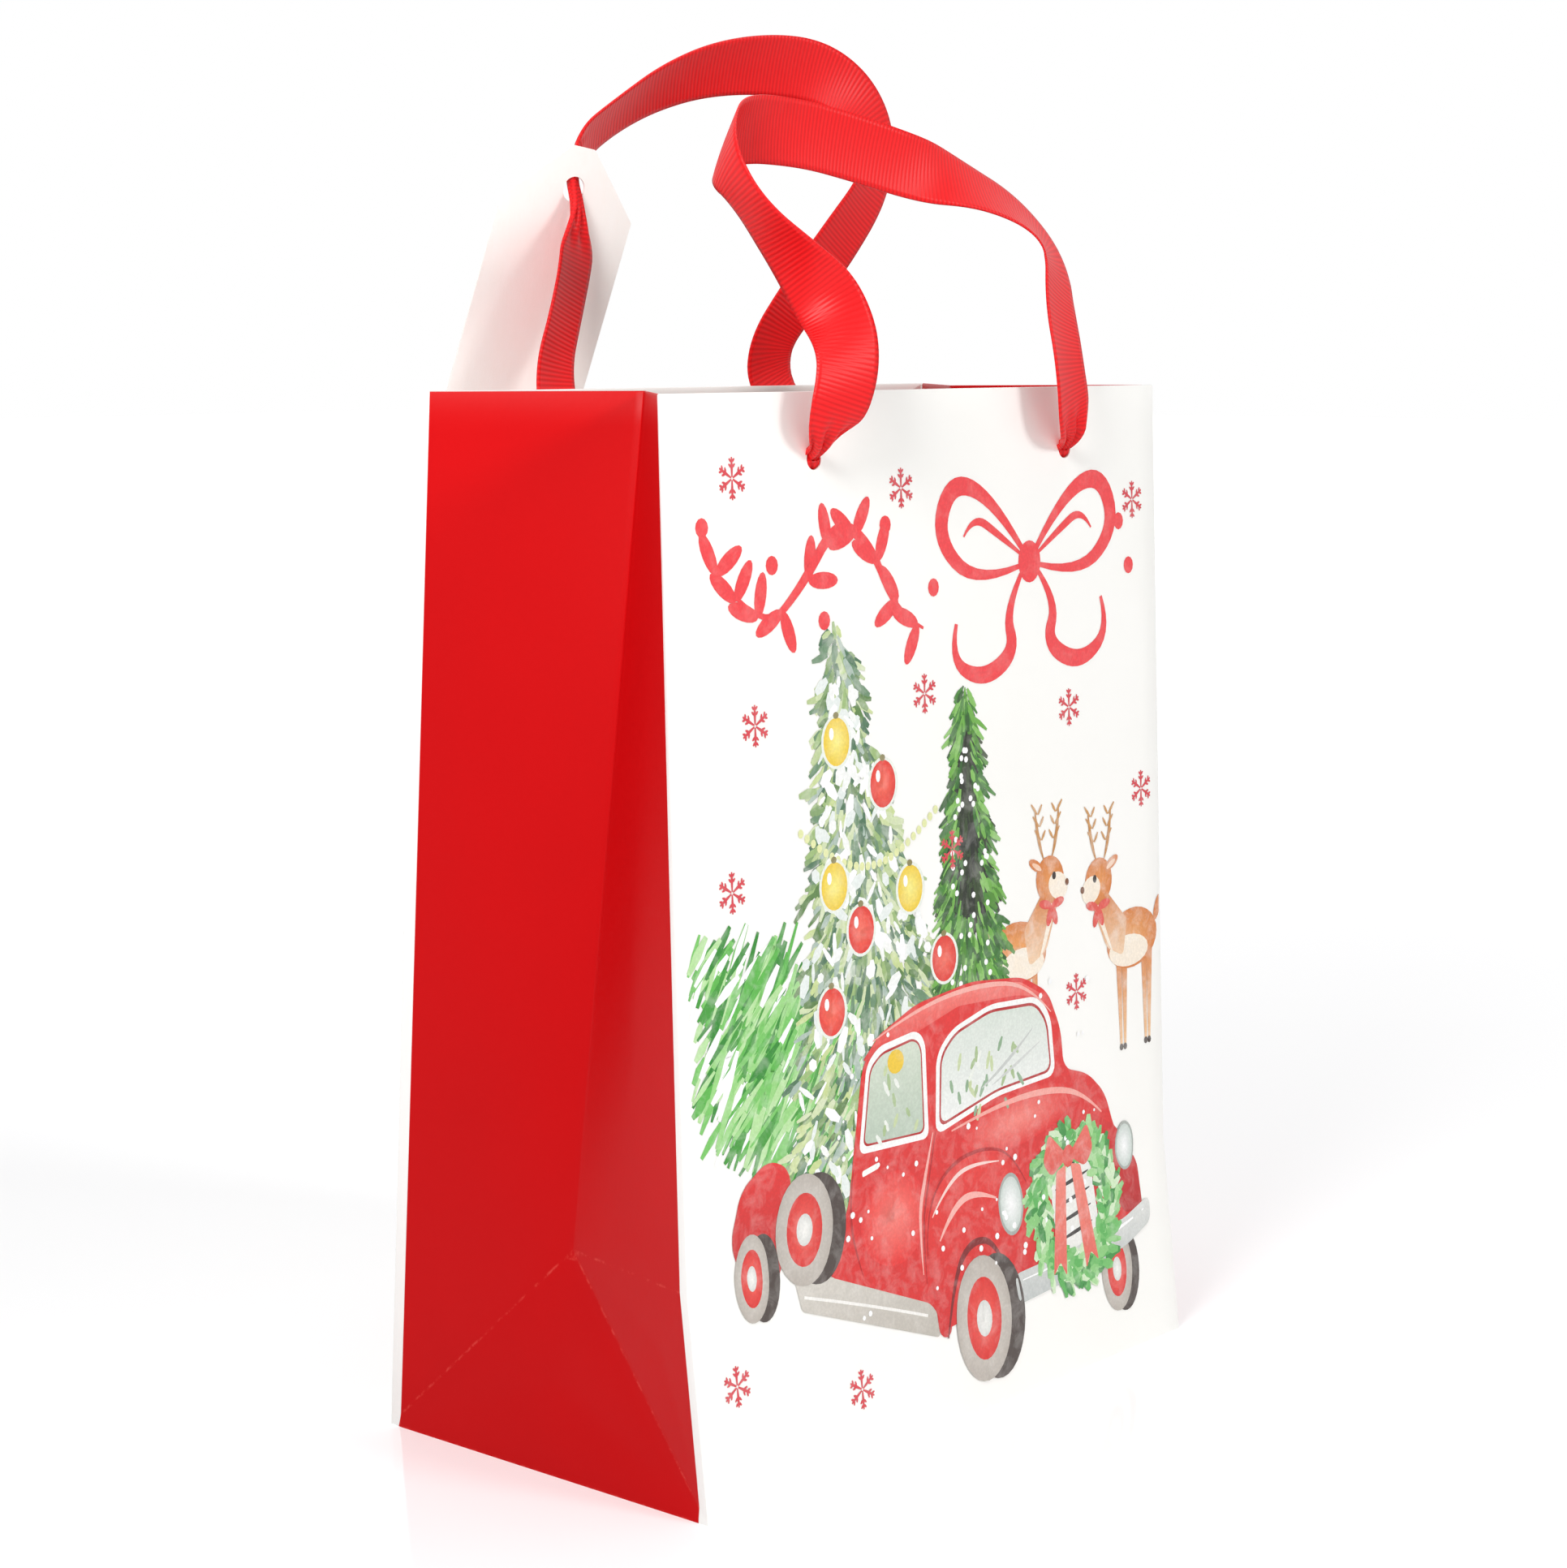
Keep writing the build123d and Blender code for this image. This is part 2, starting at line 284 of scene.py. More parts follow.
bagSettings = {
    "paper": 0.3 * mm,
    "wall": 1.2 * mm,          # front and back walls at the hem: paper, card, paper
    "cornerReach": 1.98 * mm,  # the hem's corner, in from the fold that holds it
    "foldReach": 0.84 * mm,
    "hemDepth": 30 * mm,
    "cuts": 24,                # of each fold-to-fold edge
    "foldRadius": 0.4 * mm,
    "bulge": 0.9 * mm,         # where the paper is slackest, away from its folds
    "slack": 26 * mm,          # from a fold to where the paper is fully slack
    "holeRadius": 2.4 * mm,
}
insideOffset = 2               # the material slots past white and red are the paper's inside


def foldPlaces(settings):
    # The right-hand folds' corners at the outer surface, read from the CAD panels
    panelLow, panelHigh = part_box("front_panel")
    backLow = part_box("back_panel")[0]
    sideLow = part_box("right_side_front")[0]
    baseLow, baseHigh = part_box("right_side_base")
    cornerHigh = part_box("right_side_corner")[1]
    half, deep, paper = panelHigh.x, -panelLow.y, settings["paper"]
    frontTop, backTop = panelHigh.y - paper, backLow.y + paper
    top = panelHigh.z
    return {
        "frontFoot": Vector((half, -deep, 0)),
        "backFoot": Vector((half, deep, 0)),
        "kink": Vector((half, sideLow.y - paper, cornerHigh.z)),
        "frontTop": Vector((half, frontTop, top)),
        "backTop": Vector((half, backTop, top)),
        "point": Vector((baseLow.x + paper, 0, baseHigh.z)),
        "foldTop": Vector((sideLow.x + paper, (frontTop + backTop) / 2, top)),
    }


def mirrored(place, side):
    return Vector((side * place.x, place.y, place.z))


def hemPlaces(places, settings):
    # The folded rim and the hem's lower edge, inside the walls
    front, back, fold, kink = (places[n] for n in ("frontTop", "backTop", "foldTop", "kink"))
    drop = settings["hemDepth"]
    down = {
        "front": (kink - front) / (front.z - kink.z),
        "back": (places["backFoot"] - back) / back.z,
        "fold": (places["point"] - fold) / (fold.z - places["point"].z),
    }
    rims = {
        "front": front + Vector((-settings["cornerReach"], settings["wall"], 0)),
        "back": back + Vector((-settings["cornerReach"], -settings["wall"], 0)),
        "fold": fold - Vector((settings["foldReach"], 0, 0)),
    }
    spots = {name + "Rim": place for name, place in rims.items()}
    spots.update({name + "Hem": place + down[name] * drop for name, place in rims.items()})
    return spots


def bagCage(bm, places, settings):
    # One sheet of paper: the walls, turned over at the top, and down inside as a hem
    spots = {}
    for side in (-1, 1):
        for name, place in {**places, **hemPlaces(places, settings)}.items():
            spots[name, side] = bm.verts.new(mirrored(place, side))

    def fold(material, *corners):
        bm.faces.new([spots[c] for c in corners]).material_index = material

    for low, high in (("frontFoot", "kink"), ("kink", "frontTop"), ("backTop", "backFoot"),
                      ("frontTop", "frontRim"), ("frontRim", "frontHem"), ("backRim", "backTop"),
                      ("backHem", "backRim")):
        fold(0, (low, -1), (low, 1), (high, 1), (high, -1))
    for side in (-1, 1):
        for names in (("kink", "frontTop", "foldTop", "point"), ("frontFoot", "kink", "point"),
                      ("frontFoot", "point", "backFoot"), ("backFoot", "point", "foldTop", "backTop"),
                      ("frontTop", "foldTop", "foldRim", "frontRim"),
                      ("frontRim", "foldRim", "foldHem", "frontHem"),
                      ("foldTop", "backTop", "backRim", "foldRim"),
                      ("foldRim", "backRim", "backHem", "foldHem")):
            fold(1, *[(name, side) for name in names])
    bmesh.ops.recalc_face_normals(bm, faces=bm.faces[:])
    bm.normal_update()
    front = min(bm.faces, key=lambda f: f.calc_center_median().y)
    if front.normal.y > 0:
        bmesh.ops.reverse_faces(bm, faces=bm.faces[:])


def distanceToLine(point, a, b):
    along = b - a
    t = max(0.0, min(1.0, (point - a).dot(along) / along.length_squared))
    return (point - a - along * t).length


def foldLines(places):
    # The corner folds, and the softer creases inside each side panel
    corners, creases, softFolds = [], [], []
    for side in (-1, 1):
        p = {name: mirrored(place, side) for name, place in places.items()}
        corners += [(p["frontFoot"], p["kink"]), (p["kink"], p["frontTop"]), (p["backFoot"], p["backTop"])]
        creases += [(p["point"], p[end]) for end in ("frontFoot", "backFoot", "kink")]
        creases += [(p["frontFoot"], p["backFoot"])]
        softFolds.append((p["point"], p["foldTop"]))
    across = [(mirrored(places[n], -1), places[n])
              for n in ("frontFoot", "backFoot", "kink", "frontTop", "backTop")]
    return corners, creases, softFolds + across


def slackenPaper(bm, places, settings):
    # Paper is flat at its folds and stiff in the hem, and bows a little between them
    corners, creases, across = foldLines(places)
    lines = corners + creases + across
    stiff = places["frontTop"].z - 1.05 * settings["hemDepth"]
    bm.normal_update()
    moves = {}
    for vert in bm.verts:
        if vert.co.z > stiff:
            continue
        free = min(distanceToLine(vert.co, a, b) for a, b in lines)
        ease = smoothStep(0, settings["slack"], free) * smoothStep(0, 30 * mm, stiff - vert.co.z)
        # uneven waves, each 20 to 30 cm from crest to crest
        wave = math.sin(31 * vert.co.x + 1.3) * math.cos(23 * vert.co.z + 0.4 + 9 * vert.co.y)
        onSide = vert.link_faces[0].material_index == 1
        moves[vert] = vert.normal * settings["bulge"] * ease * wave * (1.0 if onSide else 0.2)
    for vert, move in moves.items():
        vert.co += move


def markFolds(mesh, places):
    # Distances that the red ink's edge and wear are drawn by
    for name, lines in zip(("cornerDistance", "creaseDistance"), foldLines(places)):
        marks = mesh.attributes.new(name, "FLOAT", "POINT")
        for vert, mark in zip(mesh.vertices, marks.data):
            mark.value = min(distanceToLine(vert.co, a, b) for a, b in lines)


def punchHoles(piece, poses, radius):
    # Each pose puts a hole's middle and its direction
    bm = bmesh.new()
    for pose in poses:
        bmesh.ops.create_cone(bm, cap_ends=True, segments=28, radius1=radius, radius2=radius,
                              depth=24 * mm, matrix=pose)
    cutter = newObject("holeCutter", meshFrom(bm, "holeCutter"))
    punch = piece.modifiers.new("holes", "BOOLEAN")
    punch.object, punch.operation, punch.solver = cutter, "DIFFERENCE", "EXACT"
    applyModifiers(piece)
    piece.data.set_sharp_from_angle(angle=math.radians(35))
    bpy.data.objects.remove(cutter)


def applyModifiers(piece):
    depsgraph = bpy.context.evaluated_depsgraph_get()
    finished = bpy.data.meshes.new_from_object(piece.evaluated_get(depsgraph))
    piece.modifiers.clear()
    piece.data = finished


def makeBag(settings):
    places = foldPlaces(settings)
    bm = bmesh.new()
    bagCage(bm, places, settings)
    long = [e for e in bm.edges if e.calc_length() > 8 * mm]
    bmesh.ops.subdivide_edges(bm, edges=long, cuts=settings["cuts"], use_grid_fill=True)
    slackenPaper(bm, places, settings)
    folds = [e for e in bm.edges if len(e.link_faces) == 2 and e.calc_face_angle() > 0.2]
    bmesh.ops.bevel(bm, geom=folds, affect="EDGES", offset=settings["foldRadius"], segments=2,
                    profile=0.5, material=-1, clamp_overlap=True)
    mesh = meshFrom(bm, "bagPaper")
    markFolds(mesh, places)
    bag = newObject("bagPaper", mesh)
    for material in (whitePaper, redPaper, insidePaper, insidePaper):
        mesh.materials.append(material)
    skin = bag.modifiers.new("thickness", "SOLIDIFY")
    skin.thickness, skin.offset = settings["paper"], -1
    skin.material_offset = skin.material_offset_rim = insideOffset
    knots = [(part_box(name)[0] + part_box(name)[1]) / 2 for name in knotNodes]
    punchHoles(bag, [Matrix.Translation(knot) @ turned(90, "X") for knot in knots], settings["holeRadius"])
    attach(bag, "bag")
    sides = ("side_front", "side_rear", "side_corner", "side_base", "hem_front", "hem_rear")
    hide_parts("front_panel", "back_panel", "front_hem", "back_hem",
                *[end + node for end in ("left_", "right_") for node in sides])
    return bag, places


knotNodes = ("front_left_knot", "front_right_knot", "back_left_knot", "back_right_knot")
bagPaper, bagFolds = makeBag(bagSettings)
print("bag body has", len(bagPaper.data.polygons), "faces")


def coverNode(node, material):
    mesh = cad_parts[node].data
    mesh.materials.clear()
    mesh.materials.append(material)


for node in ("front_base_flap", "back_base_flap", "left_base_flap", "right_base_flap", "side_seam_tab"):
    coverNode(node, insidePaper)
for node in ("base_board", "front_stiffener", "back_stiffener"):
    coverNode(node, greyBoard)


ribbonSettings = {
    "width": 15 * mm,
    "thickness": 0.45 * mm,
    "ribPitch": 1.05 * mm,     # grosgrain's cross ribs
    "step": 1.0 * mm,
    "across": 12,
    "pleat": 1.2 * mm,         # depth of the folds where it is gathered
    "cup": 0.45 * mm,
    "cloudSize": 18.2 * mm,
    "gatheredWidth": 0.27,     # share of its width in a hole
    "gatherLength": 17 * mm,
}

frontRoute = [
    (-41, -36, 225), (-42, -41, 226.5),
    (-44, -45.5, 231.4), (-42.7, -48.5, 238.3), (-40.2, -48, 247.5), (-38.7, -43, 256.5),
    (-44.1, -37, 266.8), (-54, -31, 279.2), (-56.9, -25, 289.5), (-43.2, -18, 296.6),
    (-22, -18, 296.5), (-5, -21, 293.5), (10.7, -25, 289.7), (26, -29, 286.5),
    (42.7, -33, 280.1), (50.1, -37, 269.8), (44.8, -42, 257.3), (43.1, -46, 245),
    (46.2, -45.5, 231.4), (50.5, -41.5, 226.5), (52, -36, 225),
]
frontAcross = [
    (-1, 0, 0), (-1, 0, 0),
    (-0.97, 0.2, 0), (-0.95, 0.27, 0), (-0.93, 0.33, -0.1), (-0.7, 0.6, -0.4),
    (0.1, 0.9, -0.4), (0.5, 0.86, -0.15), (0.35, 0.8, -0.6), (0, 0.25, -0.97),
    (0, 0, -1), (0, 0, -1), (-0.05, -0.05, -1), (-0.5, -0.55, -0.67),
    (-0.58, -0.66, -0.48), (-0.93, -0.36, 0), (-0.98, -0.2, 0), (-0.98, -0.18, 0),
    (-0.98, -0.15, 0), (-1, 0, 0), (-1, 0, 0),
]
backRoute = [
    (-41, 33, 225), (-40.5, 37.5, 226.5),
    (-38.5, 41.5, 231.4), (-39.3, 43, 243.8), (-35.2, 42.5, 257), (-31.4, 42.5, 270),
    (-30.2, 43, 281.3), (-26.4, 49.4, 290.7), (-19.3, 51, 298), (-9, 49.5, 305),
    (2, 46, 311.5), (15.4, 42, 316.3), (31.9, 38, 318.3), (47.4, 34, 317.2),
    (58.5, 30, 310.3), (63, 27, 299.4), (60.5, 28, 288.2), (51.6, 32, 274.9),
    (43, 38, 260.7), (38, 43, 250), (40.5, 45.5, 240.4), (46, 41.5, 231.4),
    (50.5, 38, 226.5), (52, 33, 225),
]
backAcross = [
    (1, 0, 0), (1, 0, 0),
    (1, 0.1, 0), (0.97, 0.2, 0), (0.95, 0.27, 0), (0.95, 0.27, 0),
    (0.95, 0.2, -0.3), (0.7, 0.45, -0.6), (0.6, 0.62, -0.5), (0.5, 0.65, -0.55),
    (0.4, 0.6, -0.7), (0.25, 0.5, -0.83), (0.05, 0.35, -0.93), (-0.2, 0.1, -0.97),
    (-0.5, -0.1, -0.85), (-0.85, -0.2, -0.4), (-0.95, -0.1, 0.1), (-0.9, 0, 0.4),
    (-0.9, 0, 0.35), (-0.95, 0, 0.2), (-1, 0.05, 0), (-1, 0, 0),
    (-1, 0, 0), (-1, 0, 0),
]


def grosgrain(settings):
    # Dyed polyester grosgrain: fine cross ribs between smooth selvedges, with a satin shine, and painted
    # shade in the grooves between the ribs
    material, tree, place = newMaterial("redGrosgrain")
    lay = addNode(tree, "UVMap", {"uv_map": "weave"})
    split = addNode(tree, "SeparateXYZ", links={0: lay})
    turns = 2 * math.pi / settings["ribPitch"]
    ribs = addNode(tree, "Math", {"operation": "MULTIPLY", 1: turns}, {0: split.outputs[1]})
    wave = addNode(tree, "Math", {"operation": "SINE"}, {0: ribs})
    crown = addNode(tree, "MapRange", {"From Min": -1.0, "From Max": 1.0}, {"Value": wave})
    cloud = addNode(tree, "TexNoise", {"Scale": 1 / settings["cloudSize"], "Detail": 3.0},
                    {"Vector": place})
    red = addNode(tree, "Mix", {"data_type": "RGBA", 6: "#F3161B", 7: "#EA1015"}, {0: cloud})
    # painted shade: the rib grooves are coloured darker than the rib crowns
    ribGrooveShade = addNode(tree, "Mix", {"data_type": "RGBA", 6: "#D20A10"}, {0: crown, 7: red.outputs[2]})
    relief = addNode(tree, "Bump", {"Strength": 0.45, "Distance": 0.12 * mm}, {"Height": crown})
    return finishMaterial(material, {"Roughness": 0.42, "Specular IOR Level": 0.28,
                                     "Sheen Weight": 0.06, "Sheen Roughness": 0.4,
                                     "Sheen Tint": "#FF9090"},
                          {"Base Color": ribGrooveShade.outputs[2], "Normal": relief})


def splinePoints(points):
    # The line that a NURBS spline draws through these control points
    curve = bpy.data.curves.new("route", "CURVE")
    curve.dimensions, curve.resolution_u = "3D", 24
    spline = curve.splines.new("NURBS")
    spline.points.add(len(points) - 1)
    for knot, place in zip(spline.points, points):
        knot.co = (*place, 1)
    spline.order_u = 3
    spline.use_endpoint_u = True
    holder = newObject("route", curve)
    mesh = bpy.data.meshes.new_from_object(holder.evaluated_get(bpy.context.evaluated_depsgraph_get()))
    line = [v.co.copy() for v in mesh.vertices]
    bpy.data.objects.remove(holder)
    bpy.data.meshes.remove(mesh)
    return line


def ribbonStations(route, across, spacing):
    # Even steps along the route: centre, width direction and upper side of the ribbon at each
    reach = 5 * mm
    centres = splinePoints([Vector(p) * mm for p in route])
    rails = splinePoints([Vector(p) * mm + Vector(a).normalized() * reach for p, a in zip(route, across)])
    run = [0.0]
    for a, b in zip(centres, centres[1:]):
        run.append(run[-1] + (b - a).length)
    count = round(run[-1] / spacing)
    stations, k = [], 0
    for i in range(count + 1):
        want = run[-1] * i / count
        while k < len(run) - 2 and run[k + 1] < want:
            k += 1
        t = (want - run[k]) / max(run[k + 1] - run[k], 1e-12)
        centre = centres[k].lerp(centres[k + 1], t)
        before, after = centres[max(k - 3, 0)], centres[min(k + 4, len(centres) - 1)]
        ahead = (after - before).normalized()
        side = rails[k].lerp(rails[k + 1], t) - centre
        side = (side - ahead * side.dot(ahead)).normalized()
        stations.append((want, centre, side, side.cross(ahead)))
    return stations


def wovenPiece(name, bm, cloth, thickness):
    # cloth holds each point's place on the ribbon: across it, then along it
    weave = bm.loops.layers.uv["weave"]
    for face in bm.faces:
        for loop in face.loops:
            loop[weave].uv = cloth.get(loop.vert, (0, 0))
    return makePiece(name, bm, redRibbon, thickness)


def makeRibbon(name, route, across, gathers, settings):
    # gathers are the places along the route where it is bunched: a point and its share of width
    stations = ribbonStations(route, across, settings["step"])
    length, count = stations[-1][0], len(stations) - 1
    gathers = gathers + [(stations[0][1], settings["gatheredWidth"]),
                         (stations[-1][1], settings["gatheredWidth"])]
    bm = bmesh.new()
    bm.loops.layers.uv.new("weave")
    bmesh.ops.create_grid(bm, x_segments=count, y_segments=settings["across"], size=0.5)
    cloth = {}
    for vert in bm.verts:
        run, centre, side, up = stations[round((vert.co.x + 0.5) * count)]
        v = vert.co.y
        share = 1.0
        for place, width in gathers:
            spread = smoothStep(0.2, 1.0, (centre - place).length / settings["gatherLength"])
            share = min(share, width + (1 - width) * spread)
        closed = (1 - share) / (1 - settings["gatheredWidth"])
        lift = settings["pleat"] * min(closed, 1.0) * math.cos(5 * math.pi * v)
        lift += settings["cup"] * (1 - closed) * (4 * v * v - 0.33)
        cloth[vert] = (v * settings["width"], run)
        vert.co = centre + side * (v * settings["width"] * share) + up * lift
    ribbon = wovenPiece(name, bm, cloth, settings["thickness"])
    path = [s[1] for s in stations]
    print(name, "is", round(length, 4), "m long")
    return ribbon, path, length


def makeHandle(name, node, route, across, gathers, settings):
    # One ribbon from hole to hole, baked in place, with its CAD handle node hidden
    ribbon, path, length = makeRibbon(name, route, across, gathers, settings)
    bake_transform(ribbon)
    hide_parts(node)
    return ribbon, path, length


tagHole = Vector((-28.3, 46.2, 286)) * mm
redRibbon = grosgrain(ribbonSettings)
frontHandle = makeHandle("ribbonFront", "front_handle", frontRoute, frontAcross, [],
                         ribbonSettings)
backHandle = makeHandle("ribbonBack", "back_handle", backRoute, backAcross, [(tagHole, 0.24)],
                        ribbonSettings)


knotSettings = {
    "loop": 2.7 * mm,          # radius of the wraps
    "depth": 2.1 * mm,
    "width": 5.2 * mm,         # the ribbon is folded in three where it is tied
    "thickness": 0.6 * mm,
    "steps": 120,
    "stepLength": 0.4 * mm,
    "inside": 0.8 * mm,        # its middle, in from the CAD knot's
    "crown": 0.9 * mm,         # how far the wraps swell in their middle
    "tail": 15 * mm,
}


def makeKnot(node, settings):
    # An overhand knot of folded ribbon behind its hole, with its cut end hanging below
    low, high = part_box(node)
    front = node.startswith("front")
    middle = (low + high) / 2
    inward = 1 if front else -1
    middle.y += inward * settings["inside"]
    centre = []
    for i in range(settings["steps"] + 1):
        t = 2 * math.pi * i / settings["steps"]
        wide = settings["loop"] * (1.0 + 0.32 * math.cos(3 * t))
        centre.append(middle + Vector((wide * math.cos(2 * t), settings["depth"] * math.sin(3 * t),
                                       wide * math.sin(2 * t))))
    bm = bmesh.new()
    bm.loops.layers.uv.new("weave")
    bmesh.ops.create_grid(bm, x_segments=settings["steps"], y_segments=6, size=0.5)
    cloth = {}
    for vert in bm.verts:
        i = round((vert.co.x + 0.5) * settings["steps"])
        here, ahead = centre[i], centre[(i + 1) % settings["steps"]]
        out = (here - middle).normalized()
        side = (ahead - here).normalized().cross(out).normalized()
        v = vert.co.y
        cloth[vert] = (v * 3 * settings["width"], i * settings["stepLength"])
        vert.co = here + side * v * settings["width"] + out * settings["crown"] * (0.5 - 4 * v * v)
    bmesh.ops.remove_doubles(bm, verts=bm.verts[:], dist=0.01 * mm)
    tail = bmesh.ops.create_grid(bm, x_segments=6, y_segments=14, size=0.5)["verts"]
    for vert in tail:
        u, v = vert.co.x, vert.co.y + 0.5
        cloth[vert] = (u * 3 * settings["width"], v * settings["tail"])
        spread = settings["width"] * (0.9 + 0.9 * (1 - v))
        bend = inward * (1.6 * mm * math.sin(2.2 * (1 - v)) + 0.9 * mm * math.cos(3 * math.pi * u))
        vert.co = Vector((middle.x + u * spread, middle.y + bend, middle.z - (1 - v) * settings["tail"]))
    knot = wovenPiece(node + "Tied", bm, cloth, settings["thickness"])
    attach(knot, "bag")
    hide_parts(node)
    return knot


knots = [makeKnot(node, knotSettings) for node in knotNodes]
print("ribbons and knots are made")


tagSettings = {
    "width": 38 * mm,
    "height": 84 * mm,
    "thickness": 0.5 * mm,
    "shoulder": 15 * mm,
    "topWidth": 6 * mm,
    "holeDrop": 10 * mm,
    "holeRadius": 3 * mm,
    "curl": 1.4 * mm,          # its lower corners stand off the flat
    "cells": 2 * mm,
    "turns": [(-12, "Z"), (105, "X"), (-9, "Z")],
}


def makeTag(settings):
    # Flat with its hole at the origin, then curled a little and hung in place
    w, h, drop = settings["width"], settings["height"], settings["holeDrop"]
    bm = bmesh.new()
    made = bmesh.ops.create_grid(bm, x_segments=round(w / settings["cells"]),
                                 y_segments=round(h / settings["cells"]), size=0.5)
    for vert in made["verts"]:
        vert.co = Vector((vert.co.x * w, (vert.co.y + 0.5) * h + drop - h, 0))
    for s in (-1, 1):
        corner = Vector((s * settings["topWidth"] / 2, drop, 0))
        slope = Vector((s * w / 2, drop - settings["shoulder"], 0)) - corner
        bmesh.ops.bisect_plane(bm, geom=bm.verts[:] + bm.edges[:] + bm.faces[:], plane_co=corner,
                               plane_no=(-slope.y * s, slope.x * s, 0), clear_outer=True)
    bmesh.ops.recalc_face_normals(bm, faces=bm.faces[:])
    pose = Matrix.Translation(tagHole)
    for degrees, axis in settings["turns"]:
        pose = pose @ turned(degrees, axis)
    for vert in bm.verts:
        x, y = vert.co.x / (w / 2), max(0.0, -vert.co.y) / h
        vert.co.z = -settings["curl"] * (x * x * (0.3 + y) + 0.8 * y * y)
    bmesh.ops.transform(bm, matrix=pose, verts=bm.verts[:])
    tag = makePiece("hangTag", bm, tagCard, settings["thickness"])
    punchHoles(tag, [pose], settings["holeRadius"])
    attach(tag, "hang_tag")
    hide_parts("hang_tag")
    return tag


hangTag = makeTag(tagSettings)
print("hang tag is made")


printSettings = {
    "lift": 0.05 * mm,         # the ink's first layer over the paper
    "layer": 0.006 * mm,
    "castFrom": 10 * mm,       # how far in front of the panel its surface is looked for
    "poolSize": 4.17 * mm,
    "grainSize": 0.667 * mm,
    # the drawing's own sizes, in mm
    "cell": 10.0,              # it is cut this fine, and along the crease, to follow the paper
    "width": 180.0,
    "height": 240.0,
    "margin": 0.9,
    "creaseHeight": 50.0,
    "snowflakeRadius": 4.9,
    # how many touches of the brush
    "treeWashes": 150,
    "treeLeaves": 1900,
    "treeSnow": 230,
    "firTwigs": 1500,
    "firSnow": 40,
    "boughBlades": 640,
    "windowLeaves": 46,
    "truckSnow": 70,
    "wreathLeaves": 560,
}
coral = "#EF4449"


def printedInk(settings):
    # Offset ink with a watercolour look: pigment that pools and thins in clouds a few mm wide,
    # over a paper grain of well under a millimetre
    material, tree, place = newMaterial("watercolourInk")
    ink = addNode(tree, "Attribute", {"attribute_name": "ink"})
    pool = addNode(tree, "TexNoise", {"Scale": 1 / settings["poolSize"], "Detail": 4.0, "Roughness": 0.6,
                                      "Distortion": 0.6}, {"Vector": place})
    thin = addNode(tree, "MapRange", {"From Min": 0.45, "From Max": 0.78},
                   {"Value": pool, "To Max": ink.outputs["Alpha"]})
    washed = addNode(tree, "Mix", {"data_type": "RGBA", 7: "#FFFDF8"}, {0: thin, 6: ink.outputs["Color"]})
    grain = addNode(tree, "TexNoise", {"Scale": 1 / settings["grainSize"], "Detail": 2.0},
                    {"Vector": place})
    dark = addNode(tree, "MapRange", {"From Min": 0.4, "From Max": 0.7, "To Min": 0.90}, {"Value": grain})
    tone = addNode(tree, "Mix", {"data_type": "RGBA", "blend_type": "MULTIPLY", 0: 1.0},
                   {6: washed.outputs[2], 7: dark})
    return finishMaterial(material, {"Roughness": 0.38, "Specular IOR Level": 0.4},
                          {"Base Color": tone.outputs[2]})


def newSheet():
    bm = bmesh.new()
    return {"bm": bm, "ink": bm.loops.layers.float_color.new("ink"), "wash": 0.1, "stack": 0.0}


# Every shape is drawn flat on this sheet: across from its left edge, up from its foot, and level
sheet = newSheet()
chance = random.Random(7)
between, pick = chance.uniform, chance.choice


def nextLevel(level):
    # Shapes of one level lie at slightly different heights, so that none share a plane
    sheet["stack"] = (sheet["stack"] + 0.37) % 0.9
    return level + sheet["stack"]


def colourFaces(faces, shade):
    # shade gives a corner's colour, and its alpha is how far the pigment thins where it pools
    for face in faces:
        for loop in face.loops:
            loop[sheet["ink"]] = shade(loop.vert.co)[:3] + [sheet["wash"]]


def facesOf(verts):
    return {face for vert in verts for face in vert.link_faces}


def disc(place, size, colour, level, turn=0.0, sides=20, middle=None):
    # An ellipse of ink, or one that shades to another colour in its middle
    centre = Vector((*place, nextLevel(level)))
    pose = Matrix.Translation(centre) @ turned(turn, "Z") @ Matrix.Diagonal((*size, 1, 1))
    made = bmesh.ops.create_circle(sheet["bm"], cap_ends=True, cap_tris=middle is not None,
                                   segments=sides, radius=1, matrix=pose)["verts"]
    rim, heart = linear(colour), linear(middle or colour)
    colourFaces(facesOf(made), lambda corner: heart if (corner - centre).length < 0.01 else rim)


def dab(place, angle, length, width, colour, level, sides=6):
    # One touch of a pointed brush, from its place outwards
    u, s = (length / 2 * wave(math.radians(angle)) for wave in (math.cos, math.sin))
    disc((place[0] + u, place[1] + s), (length / 2, width / 2), colour, level, angle, sides)


def patch(points, colour, level, rounding=0.0, lower=None):
    # A flat shape with rounded corners, shading to another colour towards its foot
    bm, level = sheet["bm"], nextLevel(level)
    corners = [bm.verts.new((u, s, level)) for u, s in points]
    faces = [bm.faces.new(corners)]
    if rounding:
        made = bmesh.ops.bevel(bm, geom=corners, affect="VERTICES", offset=rounding, segments=4,
                               profile=0.5, material=-1, clamp_overlap=True)
        faces = facesOf(made["verts"])
    faces = bmesh.ops.triangulate(bm, faces=list(faces))["faces"]
    low, high = min(p[1] for p in points), max(p[1] for p in points)
    top, foot = Vector(linear(colour)), Vector(linear(lower or colour))
    colourFaces(faces, lambda corner: list(foot.lerp(top, (corner.y - low) / (high - low))))


